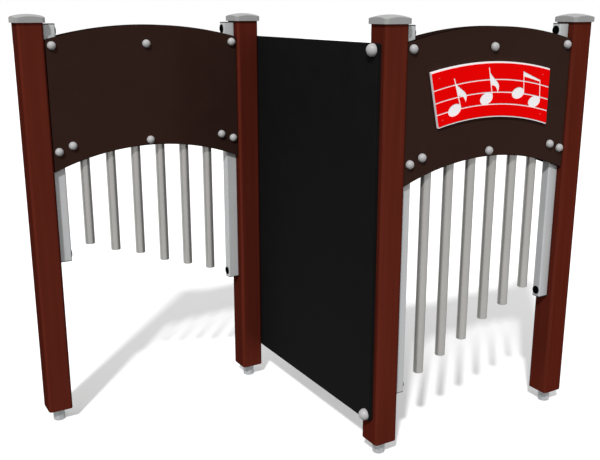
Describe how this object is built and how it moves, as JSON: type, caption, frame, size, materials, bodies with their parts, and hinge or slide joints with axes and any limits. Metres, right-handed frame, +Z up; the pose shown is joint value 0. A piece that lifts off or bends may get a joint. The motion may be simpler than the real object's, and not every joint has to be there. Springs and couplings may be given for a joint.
{
  "type": "playground tubular bells",
  "caption": "Free-standing outdoor tubular bells: posts and arched boards carry two bays of hanging tubes, one on each side of a partition board.",
  "frame": {"origin": "on the ground in the middle of the set, halfway between the two bays", "axes": "+Z up; +X along the bays, from the bay with the shorter tubes to the one with the longer tubes; +Y from the longer-tubed bay to the other, square to the bays"},
  "size_m": [2.0596, 1.032, 1.6885],
  "materials": {
    "post_paint": "satin paint",
    "cap_plastic": "moulded, satin",
    "galvanised_steel": "galvanised",
    "stainless_rod": "ground",
    "rail_metal": "satin",
    "board_brown": "fine satin",
    "partition_black": "fine matt",
    "bell_metal": "brushed",
    "dome_grey": "satin coating",
    "sign_red": "satin, white core"
  },
  "bodies": {
    "frame": {"partition_board": "partition_black", "post_inner_a": "post_paint", "post_cap_inner_a": "cap_plastic", "post_foot_inner_a": "galvanised_steel", "rail_inner_a": "rail_metal", "post_outer_a": "post_paint", "post_cap_outer_a": "cap_plastic", "post_foot_outer_a": "galvanised_steel", "rail_outer_a": "rail_metal", "board_outer_a": "board_brown", "board_back_a": "board_brown", "sign_a": "sign_red", "hanger_frame_a": "galvanised_steel", "hanger_rod_a": "stainless_rod", "panel_bolt_1_a": "dome_grey", "panel_bolt_2_a": "dome_grey", "panel_bolt_3_a": "dome_grey", "panel_bolt_4_a": "dome_grey", "panel_bolt_5_a": "dome_grey", "panel_bolt_6_a": "dome_grey", "panel_bolt_7_a": "dome_grey", "panel_bolt_8_a": "dome_grey", "partition_bolt_1_a": "dome_grey", "partition_bolt_2_a": "dome_grey", "post_inner_b": "post_paint", "post_cap_inner_b": "cap_plastic", "post_foot_inner_b": "galvanised_steel", "rail_inner_b": "rail_metal", "post_outer_b": "post_paint", "post_cap_outer_b": "cap_plastic", "post_foot_outer_b": "galvanised_steel", "rail_outer_b": "rail_metal", "board_outer_b": "board_brown", "board_back_b": "board_brown", "sign_b": "sign_red", "hanger_frame_b": "galvanised_steel", "hanger_rod_b": "stainless_rod", "panel_bolt_1_b": "dome_grey", "panel_bolt_2_b": "dome_grey", "panel_bolt_3_b": "dome_grey", "panel_bolt_4_b": "dome_grey", "panel_bolt_5_b": "dome_grey", "panel_bolt_6_b": "dome_grey", "panel_bolt_7_b": "dome_grey", "panel_bolt_8_b": "dome_grey", "partition_bolt_1_b": "dome_grey", "partition_bolt_2_b": "dome_grey"},
    "bell_1_a": {"bell_tube_1_a": "bell_metal"},
    "bell_2_a": {"bell_tube_2_a": "bell_metal"},
    "bell_3_a": {"bell_tube_3_a": "bell_metal"},
    "bell_4_a": {"bell_tube_4_a": "bell_metal"},
    "bell_5_a": {"bell_tube_5_a": "bell_metal"},
    "bell_6_a": {"bell_tube_6_a": "bell_metal"},
    "bell_1_b": {"bell_tube_1_b": "bell_metal"},
    "bell_2_b": {"bell_tube_2_b": "bell_metal"},
    "bell_3_b": {"bell_tube_3_b": "bell_metal"},
    "bell_4_b": {"bell_tube_4_b": "bell_metal"},
    "bell_5_b": {"bell_tube_5_b": "bell_metal"},
    "bell_6_b": {"bell_tube_6_b": "bell_metal"}
  },
  "joints": [
    {"name": "swing_1_a", "type": "hinge", "parent": "frame", "child": "bell_1_a", "pos_m": [0.24455, -0.458, 1.203], "axis": [1, 0, 0], "range_deg": [-4, 4]},
    {"name": "swing_2_a", "type": "hinge", "parent": "frame", "child": "bell_2_a", "pos_m": [0.35295, -0.458, 1.203], "axis": [1, 0, 0], "range_deg": [-6, 6]},
    {"name": "swing_3_a", "type": "hinge", "parent": "frame", "child": "bell_3_a", "pos_m": [0.46135, -0.458, 1.203], "axis": [1, 0, 0], "range_deg": [-7, 7]},
    {"name": "swing_4_a", "type": "hinge", "parent": "frame", "child": "bell_4_a", "pos_m": [0.56975, -0.458, 1.203], "axis": [1, 0, 0], "range_deg": [-7, 7]},
    {"name": "swing_5_a", "type": "hinge", "parent": "frame", "child": "bell_5_a", "pos_m": [0.67815, -0.458, 1.203], "axis": [1, 0, 0], "range_deg": [-6, 6]},
    {"name": "swing_6_a", "type": "hinge", "parent": "frame", "child": "bell_6_a", "pos_m": [0.78655, -0.458, 1.203], "axis": [1, 0, 0], "range_deg": [-4, 4]},
    {"name": "swing_1_b", "type": "hinge", "parent": "frame", "child": "bell_1_b", "pos_m": [-0.24455, 0.458, 1.203], "axis": [1, 0, 0], "range_deg": [-4, 4]},
    {"name": "swing_2_b", "type": "hinge", "parent": "frame", "child": "bell_2_b", "pos_m": [-0.35295, 0.458, 1.203], "axis": [1, 0, 0], "range_deg": [-6, 6]},
    {"name": "swing_3_b", "type": "hinge", "parent": "frame", "child": "bell_3_b", "pos_m": [-0.46135, 0.458, 1.203], "axis": [1, 0, 0], "range_deg": [-7, 7]},
    {"name": "swing_4_b", "type": "hinge", "parent": "frame", "child": "bell_4_b", "pos_m": [-0.56975, 0.458, 1.203], "axis": [1, 0, 0], "range_deg": [-7, 7]},
    {"name": "swing_5_b", "type": "hinge", "parent": "frame", "child": "bell_5_b", "pos_m": [-0.67815, 0.458, 1.203], "axis": [1, 0, 0], "range_deg": [-6, 6]},
    {"name": "swing_6_b", "type": "hinge", "parent": "frame", "child": "bell_6_b", "pos_m": [-0.78655, 0.458, 1.203], "axis": [1, 0, 0], "range_deg": [-4, 4]}
  ]
}
